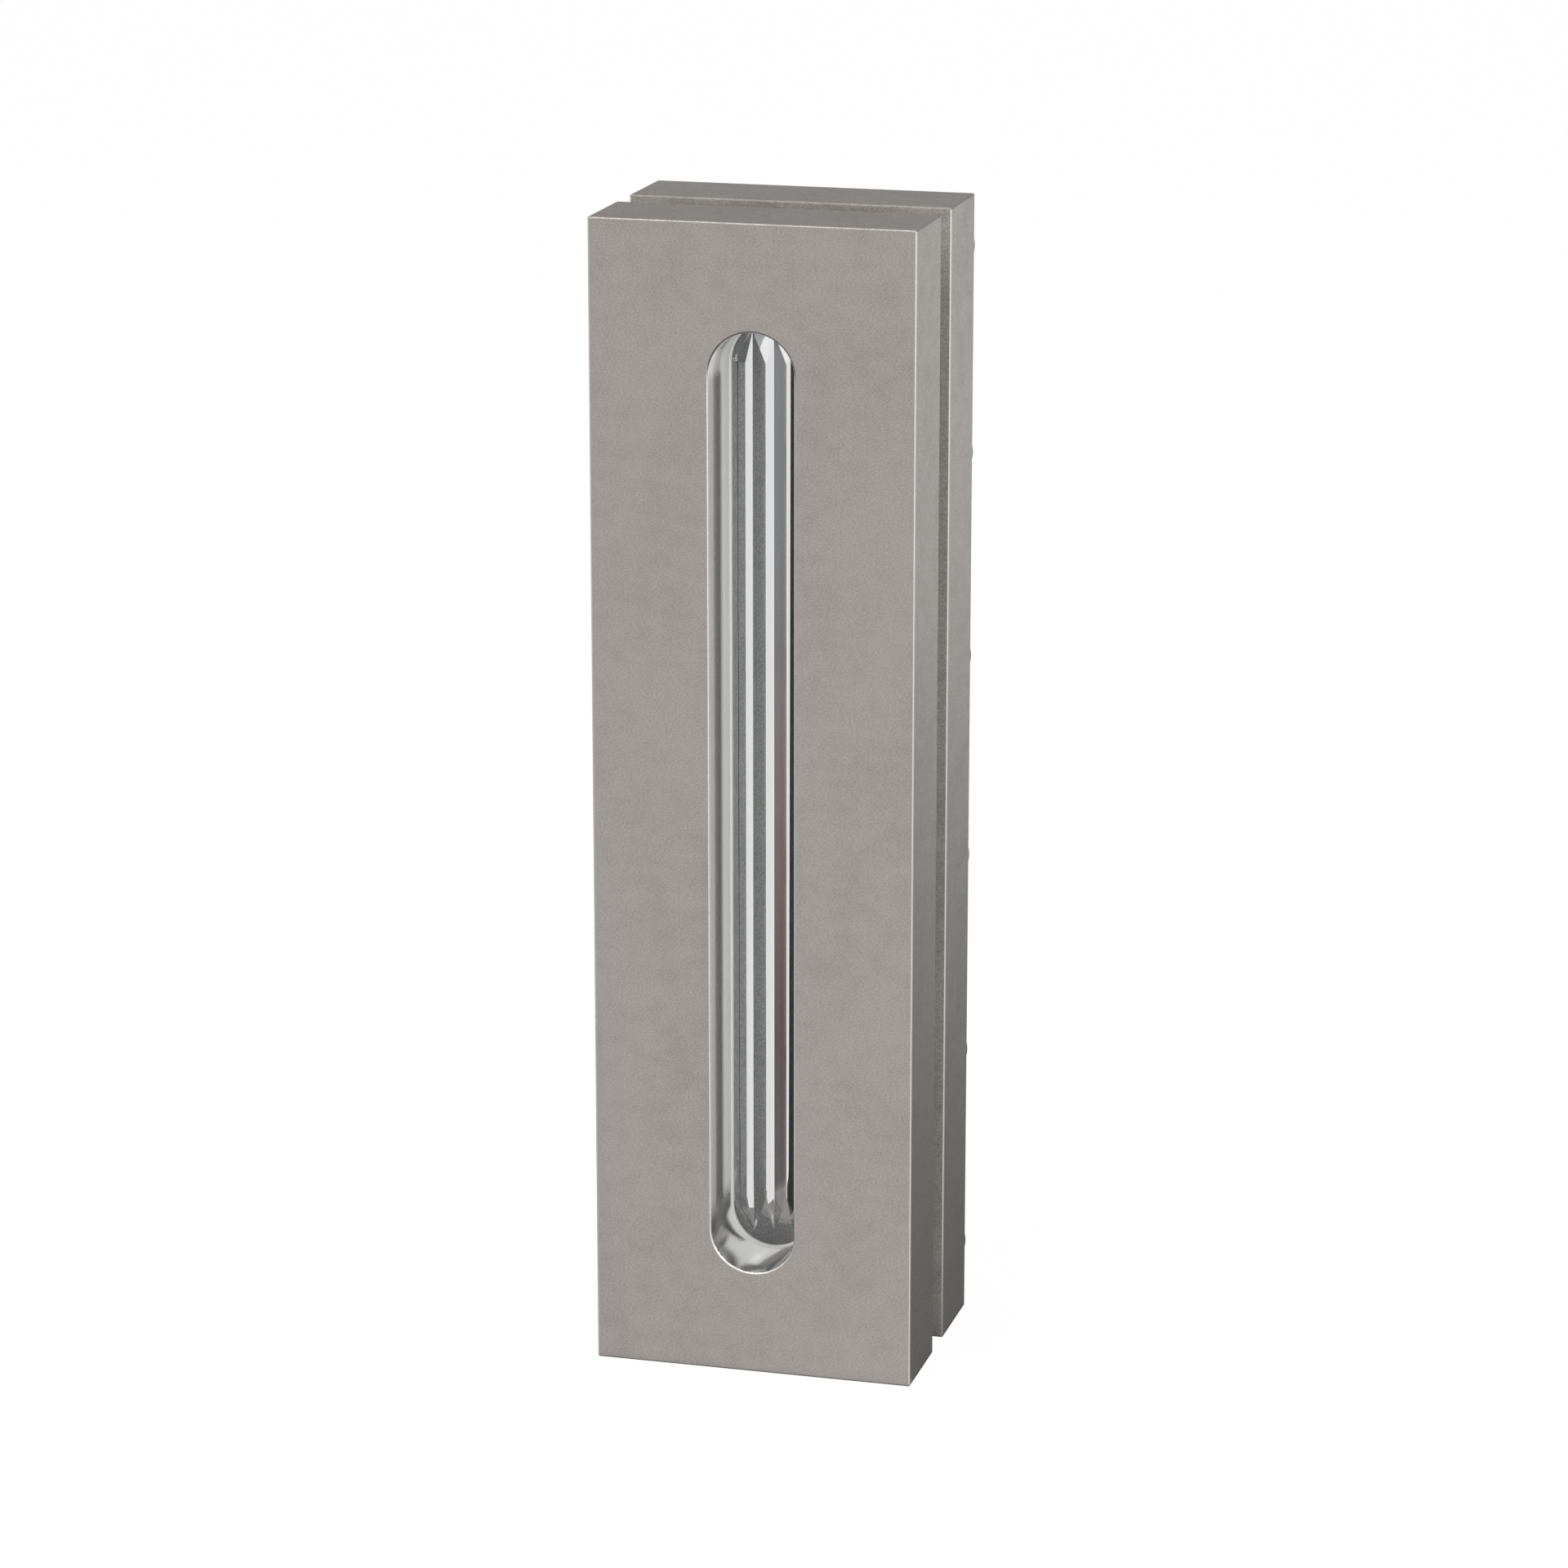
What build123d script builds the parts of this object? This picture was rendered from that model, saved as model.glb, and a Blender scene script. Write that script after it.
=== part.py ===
from build123d import *
import os

# Weld-on reflex level gauge: a ridged glass block between two gaskets, held between a weld plate and a cover plate
# by two columns of screws. The weld face is at Y = 0 and looks along -Y, the cover is behind it, and Z is up along
# the window. The origin is the centre of the window on the weld face. A depth is a distance behind the weld face.

# Window through both plates
window_width = 21.0
window_length = 234.0

# Glass block with round ends, wider and longer than the window by the land that the gaskets seal on
side_land = 6.5
end_land = 8.0
glass_thickness = 17.0
glass_bevel = 0.1
pocket_clearance = 0.5

# Plates, and how far they reach past the glass
plate_side_margin = 23.0
plate_end_margin = 18.0
weld_plate_thickness = 24.0
cover_plate_thickness = 24.0
edge_rounding = 0.5

# Flare that opens the cover's window towards its outer face
flare_depth = 7.6
flare_width = 4.4

# Grooves moulded into the wet face of the glass. Their mouths end on an arc inside the window's round end, or on a
# straight line across its tip, and each groove rises to there from the end of its root.
groove_count = 4
groove_pitch = 5.2
groove_end_radius = 9.05
groove_tip_inset = 3.4
root_end_inset = 1.0
ridge_flat = 0.15
root_flat = 0.15

# Gaskets on both sides of the glass
sealing_gasket_thickness = 2.0
cushion_gasket_thickness = 2.0
sealing_gasket_squeeze = 0.4
sealing_gasket_rounding = 0.8

# Pockets that seat the gaskets and the glass
weld_pocket_depth = 5.7
cover_pocket_depth = 4.5

# Socket head cap screws, in two columns along the plates' long edges
screws_per_column = 6
screw_side_margin = 10.0
screw_end_margin = 14.25
screw_diameter = 10.0
screw_length = 50.0
screw_tip_chamfer = 1.0
head_diameter = 16.0
head_height = 10.0
head_chamfer = 0.9
socket_across_flats = 8.0
socket_depth = 5.0

# Holes for the screws
cover_hole_clearance = 0.5
thread_clearance = 0.05
thread_runout = 2.0
drill_point_height = 3.0

# Places along the depth, from the weld face to the cover's outer face
seal_seat_depth = weld_plate_thickness - weld_pocket_depth
glass_front_depth = seal_seat_depth + sealing_gasket_thickness
glass_back_depth = glass_front_depth + glass_thickness
cushion_seat_depth = glass_back_depth + cushion_gasket_thickness
cover_inner_depth = cushion_seat_depth - cover_pocket_depth
cover_outer_depth = cover_inner_depth + cover_plate_thickness
head_top_depth = cover_outer_depth + head_height
screw_tip_depth = cover_outer_depth - screw_length
tapped_end_depth = screw_tip_depth - thread_runout

# Sizes that follow from the ones above
glass_width = window_width + 2 * side_land
glass_length = window_length + 2 * end_land
pocket_width = glass_width + 2 * pocket_clearance
pocket_length = glass_length + 2 * pocket_clearance
plate_width = glass_width + 2 * plate_side_margin
plate_height = glass_length + 2 * plate_end_margin
screw_column_spacing = plate_width - 2 * screw_side_margin
screw_reach = plate_height - 2 * screw_end_margin
screw_pitch = screw_reach / (screws_per_column - 1)
window_straight = window_length - window_width
root_length = window_straight - 2 * root_end_inset
groove_mouth = groove_pitch - ridge_flat
groove_depth = (groove_mouth - root_flat) / 2
tapped_radius = screw_diameter / 2 + thread_clearance
cover_hole_radius = screw_diameter / 2 + cover_hole_clearance


def depth_plane(depth):
    """The plane parallel to the weld face at this depth, with X to the right, Z up and its normal to the front."""
    return Plane.XZ.offset(-depth)


def plate_outline(depth):
    """The outline of either plate, in the plane at this depth."""
    with BuildSketch(depth_plane(depth)) as outline:
        Rectangle(plate_width, plate_height)
    return outline.sketch


def round_ended(length, width, depth):
    """An upright slot shape with round ends, in the plane at this depth."""
    with BuildSketch(depth_plane(depth)) as shape:
        SlotOverall(length, width, rotation=90)
    return shape.sketch


def gasket_outline(depth, squeeze=0.0):
    """The outline of the glass round the window, squeezed into it by this much, in the plane at this depth."""
    with BuildSketch(depth_plane(depth)) as ring:
        SlotOverall(glass_length, glass_width, rotation=90)
        SlotOverall(window_length - 2 * squeeze, window_width - 2 * squeeze, rotation=90, mode=Mode.SUBTRACT)
    return ring.sketch


def groove_end(side):
    """How high a groove's mouth reaches at this distance to the side of the window's middle line."""
    arc = window_straight / 2 + max(groove_end_radius ** 2 - side ** 2, 0) ** 0.5
    return min(arc, window_length / 2 - groove_tip_inset)


def screw_circles(radius, depth):
    """Circles at the places of the screws, in the plane at this depth."""
    with BuildSketch(depth_plane(depth)) as circles:
        with GridLocations(screw_column_spacing, screw_pitch, 2, screws_per_column):
            Circle(radius)
    return circles.sketch


# Weld plate, with the window, the pocket for the glass and blind tapped holes that open on its inner face
with BuildPart() as weld_plate:
    extrude(plate_outline(weld_plate_thickness), amount=weld_plate_thickness)
    fillet(weld_plate.edges(), radius=edge_rounding)
    extrude(round_ended(window_length, window_width, weld_plate_thickness), amount=weld_plate_thickness,
            mode=Mode.SUBTRACT)
    fillet(weld_plate.edges(Select.LAST).group_by(Axis.Y)[0], radius=edge_rounding)
    extrude(round_ended(pocket_length, pocket_width, weld_plate_thickness), amount=weld_pocket_depth,
            mode=Mode.SUBTRACT)
    extrude(screw_circles(tapped_radius, weld_plate_thickness), amount=weld_plate_thickness - tapped_end_depth,
            mode=Mode.SUBTRACT)
    with Locations(depth_plane(tapped_end_depth)):
        with GridLocations(screw_column_spacing, screw_pitch, 2, screws_per_column):
            Cone(tapped_radius, 0, drill_point_height, align=(Align.CENTER, Align.CENTER, Align.MIN),
                 mode=Mode.SUBTRACT)
weld_plate.part.label = "weld_plate"

# Cover plate, with the same window, its own pocket and clearance holes for the screws
with BuildPart() as cover_plate:
    extrude(plate_outline(cover_outer_depth), amount=cover_plate_thickness)
    fillet(cover_plate.edges(), radius=edge_rounding)
    extrude(round_ended(window_length, window_width, cover_outer_depth), amount=cover_plate_thickness,
            mode=Mode.SUBTRACT)
    mouth_edges = cover_plate.edges(Select.LAST).group_by(Axis.Y)[-1]
    outer_face = cover_plate.faces().sort_by(Axis.Y)[-1]
    chamfer(mouth_edges, length=flare_width, length2=flare_depth, reference=outer_face)
    extrude(round_ended(pocket_length, pocket_width, cushion_seat_depth), amount=cover_pocket_depth,
            mode=Mode.SUBTRACT)
    extrude(screw_circles(cover_hole_radius, cover_outer_depth), amount=cover_plate_thickness, mode=Mode.SUBTRACT)
cover_plate.part.label = "cover_plate"

# The grooves as solids: long hipped roofs lying in the wet face of the glass
with BuildPart() as grooves:
    for number in range(groove_count):
        middle = (number - (groove_count - 1) / 2) * groove_pitch
        for depth, half_width, left_end, right_end in (
            (0, groove_mouth / 2, groove_end(middle - groove_mouth / 2), groove_end(middle + groove_mouth / 2)),
            (groove_depth, root_flat / 2, root_length / 2, root_length / 2),
        ):
            left, right = middle - half_width, middle + half_width
            with BuildSketch(depth_plane(glass_front_depth + depth)):
                Polygon((left, -left_end), (right, -right_end), (right, right_end), (left, left_end), align=None)
        loft(ruled=True)

# Reflex glass, bevelled all round and grooved on its wet face
with BuildPart() as reflex_glass:
    extrude(round_ended(glass_length, glass_width, glass_back_depth), amount=glass_thickness)
    chamfer(reflex_glass.edges().group_by(Axis.Y)[0] + reflex_glass.edges().group_by(Axis.Y)[-1], glass_bevel)
    add(grooves.part, mode=Mode.SUBTRACT)
reflex_glass.part.label = "reflex_glass"

# Gaskets, one under each face of the glass
with BuildPart() as sealing_gasket:
    extrude(gasket_outline(glass_front_depth, sealing_gasket_squeeze), amount=sealing_gasket_thickness)
    inner_edges = sealing_gasket.edges().filter_by(lambda edge: edge.bounding_box().size.Y < 0.01).filter_by(
        lambda edge: max(abs(edge.bounding_box().min.X), abs(edge.bounding_box().max.X)) < window_width / 2)
    fillet(inner_edges, radius=sealing_gasket_rounding)
sealing_gasket.part.label = "sealing_gasket"

with BuildPart() as cushion_gasket:
    extrude(gasket_outline(cushion_seat_depth), amount=cushion_gasket_thickness)
cushion_gasket.part.label = "cushion_gasket"

# Socket head cap screw on the Y axis, its head on the cover's outer face
with BuildPart() as cover_screw:
    with BuildSketch(depth_plane(head_top_depth)):
        Circle(head_diameter / 2)
    extrude(amount=head_height)
    chamfer(edges().group_by(Axis.Y)[-1], head_chamfer)
    with BuildSketch(depth_plane(head_top_depth)):
        RegularPolygon(socket_across_flats / 2, 6, major_radius=False)
    extrude(amount=socket_depth, mode=Mode.SUBTRACT)
    with BuildSketch(depth_plane(cover_outer_depth)):
        Circle(screw_diameter / 2)
    extrude(amount=screw_length)
    chamfer(edges().group_by(Axis.Y)[0], screw_tip_chamfer)

os.makedirs("parts", exist_ok=True)
for piece in (weld_plate, cover_plate, reflex_glass, sealing_gasket, cushion_gasket):
    export_step(piece.part, f"parts/{piece.part.label}.step")

# The twelve screws, numbered upwards in each column
for side, column_x in (("left", -screw_column_spacing / 2), ("right", screw_column_spacing / 2)):
    for number in range(screws_per_column):
        height = number * screw_pitch - screw_reach / 2
        placed_screw = cover_screw.part.moved(Location((column_x, 0, height)))
        placed_screw.label = f"cover_screw_{side}_{number + 1}"
        export_step(placed_screw, f"parts/{placed_screw.label}.step")
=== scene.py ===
"""The finish of a weld-on reflex level gauge: satin steel plates, a ridged glass, gaskets and screws."""
import math

import bmesh
import bpy
from mathutils import Matrix, Vector


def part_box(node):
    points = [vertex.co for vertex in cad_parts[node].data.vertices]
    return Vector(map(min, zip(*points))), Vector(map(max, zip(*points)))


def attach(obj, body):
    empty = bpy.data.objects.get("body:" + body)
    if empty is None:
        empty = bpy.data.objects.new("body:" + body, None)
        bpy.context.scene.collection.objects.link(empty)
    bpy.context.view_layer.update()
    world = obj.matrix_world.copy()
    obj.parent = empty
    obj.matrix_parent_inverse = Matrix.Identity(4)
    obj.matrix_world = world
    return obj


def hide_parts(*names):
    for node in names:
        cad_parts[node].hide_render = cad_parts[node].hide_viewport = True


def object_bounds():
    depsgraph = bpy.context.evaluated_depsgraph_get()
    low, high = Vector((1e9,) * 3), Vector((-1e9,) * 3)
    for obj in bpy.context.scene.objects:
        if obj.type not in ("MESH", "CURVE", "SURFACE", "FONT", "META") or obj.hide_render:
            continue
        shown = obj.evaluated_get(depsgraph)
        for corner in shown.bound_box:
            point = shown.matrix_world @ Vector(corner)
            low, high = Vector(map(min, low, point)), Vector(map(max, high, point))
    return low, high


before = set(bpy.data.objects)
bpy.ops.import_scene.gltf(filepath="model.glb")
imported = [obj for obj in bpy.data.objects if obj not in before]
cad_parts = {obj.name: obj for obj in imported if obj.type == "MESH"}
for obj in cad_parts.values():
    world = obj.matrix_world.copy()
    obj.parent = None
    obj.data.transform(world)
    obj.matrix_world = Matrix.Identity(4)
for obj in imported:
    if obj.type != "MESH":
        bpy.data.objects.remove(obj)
cad_low, cad_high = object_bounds()

bl_info = {
    "name": "Reflex level gauge",
    "version": (1, 0, 0),
    "blender": (4, 5, 0),
    "location": "View3D > Sidebar > Level gauge",
    "description": "Finishes the plates, glass, gaskets and screws of a reflex level gauge and lights it",
    "category": "Object",
}

weld_low, weld_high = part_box("weld_plate")
cover_low, cover_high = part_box("cover_plate")
glass_low, glass_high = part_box("reflex_glass")
mm = 0.001

# How finely the round shapes are divided
RING_SEGMENTS = 96
HEAD_SEGMENTS = 72
THREAD_STEPS = 24
BULGE_SEGMENTS = 6
SOFTENING_SEGMENTS = 3

# Edges sharper than the first angle shade sharp, and a gasket's edges sharper than the second are rounded
SHARP_ANGLE = math.radians(20)
CORNER_ANGLE = math.radians(60)

# Shape of a metric thread, as shares of its pitch
THREAD_DEPTH = 0.5413
ROOT_FLAT = 0.25
CREST_FLAT = 0.125

# How near two corners are merged, and how near a cut a corner counts as on it
MERGE_DISTANCE = 0.001 * mm
CUT_DISTANCE = 0.0001 * mm

# Heights of the noise at which a stain, the satin grain, a speck and a fibre speck start and are full
STAIN_RANGE = (0.40, 0.68)
GRAIN_RANGE = (0.36, 0.64)
SPECK_RANGE = (0.40, 0.60)
FIBRE_RANGE = (0.44, 0.60)

# Share of the small clouds in a stain, and how large the broad ones are beside them
CLOUD_SHARE = 0.55
DRIFT_SCALE = 5

# How strongly stains show on the satin face, and how strongly stains and specks show on the sawn face
SATIN_STAIN = 0.35
SAWN_STAIN = 0.3
SAWN_SPECKS = 0.4

# How far the grain, the clouds, the marks on the screws and the pale patch of painted reflection on the wall
# spread the roughness
GRAIN_SPREAD = 0.16
CLOUD_SPREAD = 0.10
MARK_SPREAD = 0.2
REFLECTION_PATCH_SPREAD = 0.3

# Roughness of the cover's wall where its reflections are painted, as a share of that of the satin face
TINTED_SHARE = 0.6

# Zones at a plate's edges, as shares of their rounding: at an outer face, round the window and behind it
OUTER_EDGE = (1.05, 0.55)
WINDOW_EDGE = (1.0, 0.85)
RIM_DEPTH = (1.1, 1.0)

# Zones below the plate's upper face and at its inner face, as shares of the rounding too
UPPER_EDGE = (1.2, 0.6)
INNER_FACE = (0.8, 0.4)

# Where the window's wall starts and is full: outside its edge, and behind the plate's outer face
WALL_OUTSIDE = (0.12 * mm, 0.04 * mm)
WALL_BEHIND_FACE = (0.02 * mm, 0.1 * mm)

# Painted highlight and painted shade on the window's rounding: across the window, up from its lower end and
# down from its upper end
LIT_SIDE = (4 * mm, -4 * mm)
LIT_FOOT = (9 * mm, 3 * mm)
SHADED_TOP = (13 * mm, 7 * mm)

# Painted reflection, a pale dull patch, on the weld plate's wall: behind the face, down from the window's
# upper end and up from its lower end
REFLECTION_MOUTH = (5.85 * mm, 2.7 * mm)
REFLECTION_TOP_START = (13 * mm, 9 * mm)
REFLECTION_TOP_END = (3.5 * mm, 7 * mm)
CLEAR_FOOT = (11.18 * mm, 18.33 * mm)

# Painted reflections and painted shade on the cover's wall: up from the middle of the window, and across it
LOWER_REFLECTION_ZONE = (57.2 * mm, -28.6 * mm)
FOOT_REFLECTION_ZONE = (-64.35 * mm, -121.55 * mm)
PAINTED_SHADE_SIDE = (6 * mm, 9 * mm)

# How strongly the highlight painted on the window's rounding shows on the lit side, at the foot and
# everywhere
SIDE_LIGHT = 0.4
FOOT_LIGHT = 0.6
EVEN_LIGHT = 0.15

# Share of that painted highlight which is left on the darkest specks
SPECK_LIGHT = 0.6

# How strong the painted reflection is at the mouth, at the top and everywhere
MOUTH_REFLECTION = 0.45
TOP_REFLECTION = 0.55
EVEN_REFLECTION = 0.14

# How much of the painted edge highlight the upper edges lose, and how dark the painted shade at the top of
# the window's rounding is
UPPER_EDGE_HIGHLIGHT_CUT = 0.9
TOP_SHADE = 0.8

# Mean share of the dark specks in a gasket, and how much of their contrast each gasket shows
DARK_SHARE = 0.4
SEAL_CONTRAST = 0.2
CUSHION_CONTRAST = 1.0

# Size of a drawing mark and of a patch of oil on the screws, and how dark the oil is
MARK_SIZE = 0.4 * mm
FILM_SIZE = 4 * mm
OIL_SHADE = 0.72

# Share of the film in the oil's pattern, and the heights of it at which the oil starts and is full
FILM_SHARE = 0.6
OIL_RANGE = (0.35, 0.7)

# Depth of the fine relief in the plates, the gaskets and the screws
PLATE_RELIEF = 0.02 * mm
FIBRE_RELIEF = 0.03 * mm
SCREW_RELIEF = 0.01 * mm

# Shares of glow in the floor, as the camera and the glass see it and as the steel does. The rest is paper.
SEEN_GLOW = 0.97
GLOSSY_GLOW = 0.9

# Where the painted shadow on the floor behind the gauge starts, how soft the edge of the painted shadow under
# the gauge is, and where the air darkens
FLOOR_BEHIND = (-4 * mm, 8 * mm)
FOOT_EDGE = 1 * mm
AIR_BEHIND = (0.2, 0.8)


class PlateSizes(bpy.types.PropertyGroup):
    """The window and the edges of the plates, as the finish needs to know them."""

    window_width: bpy.props.FloatProperty(
        name="Window width", description="Width of the round-ended window in both plates", default=21 * mm,
        unit="LENGTH")
    window_length: bpy.props.FloatProperty(
        name="Window length", description="Length of the window from end to end", default=234 * mm,
        unit="LENGTH")
    edge_rounding: bpy.props.FloatProperty(
        name="Edge rounding", description="Radius of the rounded outer edges", default=0.5 * mm,
        unit="LENGTH")


class SteelLook(bpy.types.PropertyGroup):
    """Colours and grain of the satin steel."""

    colour: bpy.props.FloatVectorProperty(
        name="Steel", description="Colour of the clean satin face", default=(0.425, 0.398, 0.374),
        subtype="COLOR", size=3)
    stain: bpy.props.FloatVectorProperty(
        name="Stain", description="Colour of the faint brownish clouds", default=(0.305, 0.279, 0.257),
        subtype="COLOR", size=3)
    # The sawn faces' paler colour is partly their finish and partly painted light in the gap between the
    # plates.
    sawn: bpy.props.FloatVectorProperty(
        name="Sawn", description="Colour of the sawn faces in the gap between the plates",
        default=(0.57, 0.54, 0.505), subtype="COLOR", size=3)
    # The rounded edges' paler colour is partly wear and partly a painted highlight.
    worn_highlit_edge: bpy.props.FloatVectorProperty(
        name="Worn edge", description="Colour of the rounded edges", default=(0.57, 0.555, 0.54),
        subtype="COLOR", size=3)
    # Painted highlight: the rounding round the window takes this colour on its lit side and at its foot.
    rim: bpy.props.FloatVectorProperty(
        name="Rim", description="Colour of the polished rounding round the window",
        default=(0.92, 0.92, 0.90), subtype="COLOR", size=3)
    polished: bpy.props.FloatVectorProperty(
        name="Polished", description="Colour of the polished wall of the weld plate's window",
        default=(0.68, 0.67, 0.66), subtype="COLOR", size=3)
    # Painted reflection: the polished wall turns this pale, dull colour next to the seal, at the mouth and
    # near the top.
    painted_reflection: bpy.props.FloatVectorProperty(
        name="Haze", description="Colour of the pale haze on the polished wall", default=(0.90, 0.90, 0.89),
        subtype="COLOR", size=3)
    painted_reflection_start: bpy.props.FloatProperty(
        name="Haze start", description="Depth at which the haze next to the seal sets in", default=9 * mm,
        unit="LENGTH")
    painted_reflection_full: bpy.props.FloatProperty(
        name="Haze full", description="Depth from which the haze next to the seal is full", default=13.5 * mm,
        unit="LENGTH")
    # Painted reflections: these three colours tint the cover's window wall blue-grey at the top, red-brown
    # lower down and pale at the foot.
    upper_wall_reflection: bpy.props.FloatVectorProperty(
        name="Upper wall", description="Blue-grey heat tint at the top of the cover's window wall",
        default=(0.28, 0.28, 0.294), subtype="COLOR", size=3)
    lower_wall_reflection: bpy.props.FloatVectorProperty(
        name="Lower wall", description="Red-brown heat tint below the middle of the cover's window wall",
        default=(0.41, 0.30, 0.285), subtype="COLOR", size=3)
    foot_wall_reflection: bpy.props.FloatVectorProperty(
        name="Foot wall", description="Pale tint at the foot of the cover's window wall",
        default=(0.57, 0.54, 0.535), subtype="COLOR", size=3)
    # Painted shade: this dark colour covers the window's walls and rounding where they turn from the light.
    painted_wall_shade: bpy.props.FloatVectorProperty(
        name="Turned wall", description="Colour of the window's walls where they turn from the light",
        default=(0.085, 0.085, 0.081), subtype="COLOR", size=3)
    roughness: bpy.props.FloatProperty(
        name="Roughness", description="Roughness of the satin face", default=0.42, min=0, max=1,
        subtype="FACTOR")
    inner_roughness: bpy.props.FloatProperty(
        name="Inner roughness", description="Roughness of the sawn faces in the gap between the plates",
        default=0.9, min=0, max=1, subtype="FACTOR")
    edge_roughness: bpy.props.FloatProperty(
        name="Edge roughness", description="Roughness of the rounded edges", default=0.44, min=0, max=1,
        subtype="FACTOR")
    wall_roughness: bpy.props.FloatProperty(
        name="Wall roughness", description="Roughness of the polished window wall", default=0.16,
        min=0, max=1, subtype="FACTOR")
    grain_size: bpy.props.FloatProperty(
        name="Grain size", description="Size of one speck of the grain", default=0.35 * mm, unit="LENGTH")
    cloud_size: bpy.props.FloatProperty(
        name="Cloud size", description="Size of one faint stain", default=5 * mm, unit="LENGTH")


class ScrewSizes(bpy.types.PropertyGroup):
    """A socket head cap screw."""

    thread_diameter: bpy.props.FloatProperty(
        name="Thread diameter", description="Outer diameter of the thread", default=10 * mm, unit="LENGTH")
    thread_pitch: bpy.props.FloatProperty(
        name="Thread pitch", description="Distance between two thread crests", default=1.5 * mm,
        unit="LENGTH")
    thread_length: bpy.props.FloatProperty(
        name="Thread length", description="Length of the threaded part", default=32 * mm, unit="LENGTH")
    tip_chamfer: bpy.props.FloatProperty(
        name="Tip chamfer", description="Chamfer at the tip of the screw", default=1 * mm, unit="LENGTH")
    head_diameter: bpy.props.FloatProperty(
        name="Head diameter", description="Diameter of the head over its knurl", default=16 * mm,
        unit="LENGTH")
    head_height: bpy.props.FloatProperty(
        name="Head height", description="Height of the head", default=10 * mm, unit="LENGTH")
    head_chamfer: bpy.props.FloatProperty(
        name="Head chamfer", description="Chamfer round the top of the head", default=0.9 * mm, unit="LENGTH")
    head_rim: bpy.props.FloatProperty(
        name="Head rim", description="Chamfer under the head, and the plain rims beside its knurl",
        default=0.4 * mm, unit="LENGTH")
    knurl_depth: bpy.props.FloatProperty(
        name="Knurl depth", description="Depth of the straight knurl on the head's side", default=0.26 * mm,
        unit="LENGTH")
    socket_across_flats: bpy.props.FloatProperty(
        name="Socket", description="Width of the hexagon socket across its flats", default=8 * mm,
        unit="LENGTH")
    socket_depth: bpy.props.FloatProperty(
        name="Socket depth", description="Depth of the hexagon socket", default=5 * mm, unit="LENGTH")
    socket_chamfer: bpy.props.FloatProperty(
        name="Socket chamfer", description="Depth of the chamfer round the socket", default=0.35 * mm,
        unit="LENGTH")
    socket_margin: bpy.props.FloatProperty(
        name="Socket margin", description="How far that chamfer reaches past the socket's corners",
        default=0.1 * mm, unit="LENGTH")
    colour: bpy.props.FloatVectorProperty(
        name="Screw steel", description="Colour of the screw steel", default=(0.34, 0.33, 0.32),
        subtype="COLOR", size=3)
    roughness: bpy.props.FloatProperty(
        name="Roughness", description="Roughness of the screw steel", default=0.36, min=0, max=1,
        subtype="FACTOR")


class GlassLook(bpy.types.PropertyGroup):
    """The glass and its gaskets."""

    tint: bpy.props.FloatVectorProperty(
        name="Glass", description="Colour of light that has passed the glass", default=(0.92, 0.93, 0.925),
        subtype="COLOR", size=3)
    index: bpy.props.FloatProperty(
        name="Index", description="Index of refraction of the pressed glass", default=1.5, min=1, max=2)
    fibre: bpy.props.FloatVectorProperty(
        name="Fibre", description="Colour of the pale pressed fibre of the gaskets",
        default=(0.98, 0.98, 0.97), subtype="COLOR", size=3)
    fibre_dark: bpy.props.FloatVectorProperty(
        name="Dark fibre", description="Colour of the darker specks in the gaskets",
        default=(0.70, 0.71, 0.71), subtype="COLOR", size=3)
    fibre_roughness: bpy.props.FloatProperty(
        name="Fibre roughness", description="Roughness of the pressed fibre", default=0.6, min=0, max=1,
        subtype="FACTOR")
    speck_size: bpy.props.FloatProperty(
        name="Speck size", description="Size of one speck in the gaskets", default=0.4 * mm, unit="LENGTH")
    clearance: bpy.props.FloatProperty(
        name="Clearance", description="Air between the glass and a gasket", default=0.03 * mm, unit="LENGTH")
    squeeze: bpy.props.FloatProperty(
        name="Squeeze", description="How far the sealing gasket is squeezed into the window",
        default=0.4 * mm, unit="LENGTH")
    bulge: bpy.props.FloatProperty(
        name="Bulge", description="Rounding of the sealing gasket where it is squeezed into the window",
        default=0.8 * mm, unit="LENGTH")
    softening: bpy.props.FloatProperty(
        name="Softening", description="Rounding of the gaskets' other edges", default=0.12 * mm,
        unit="LENGTH")


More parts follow.
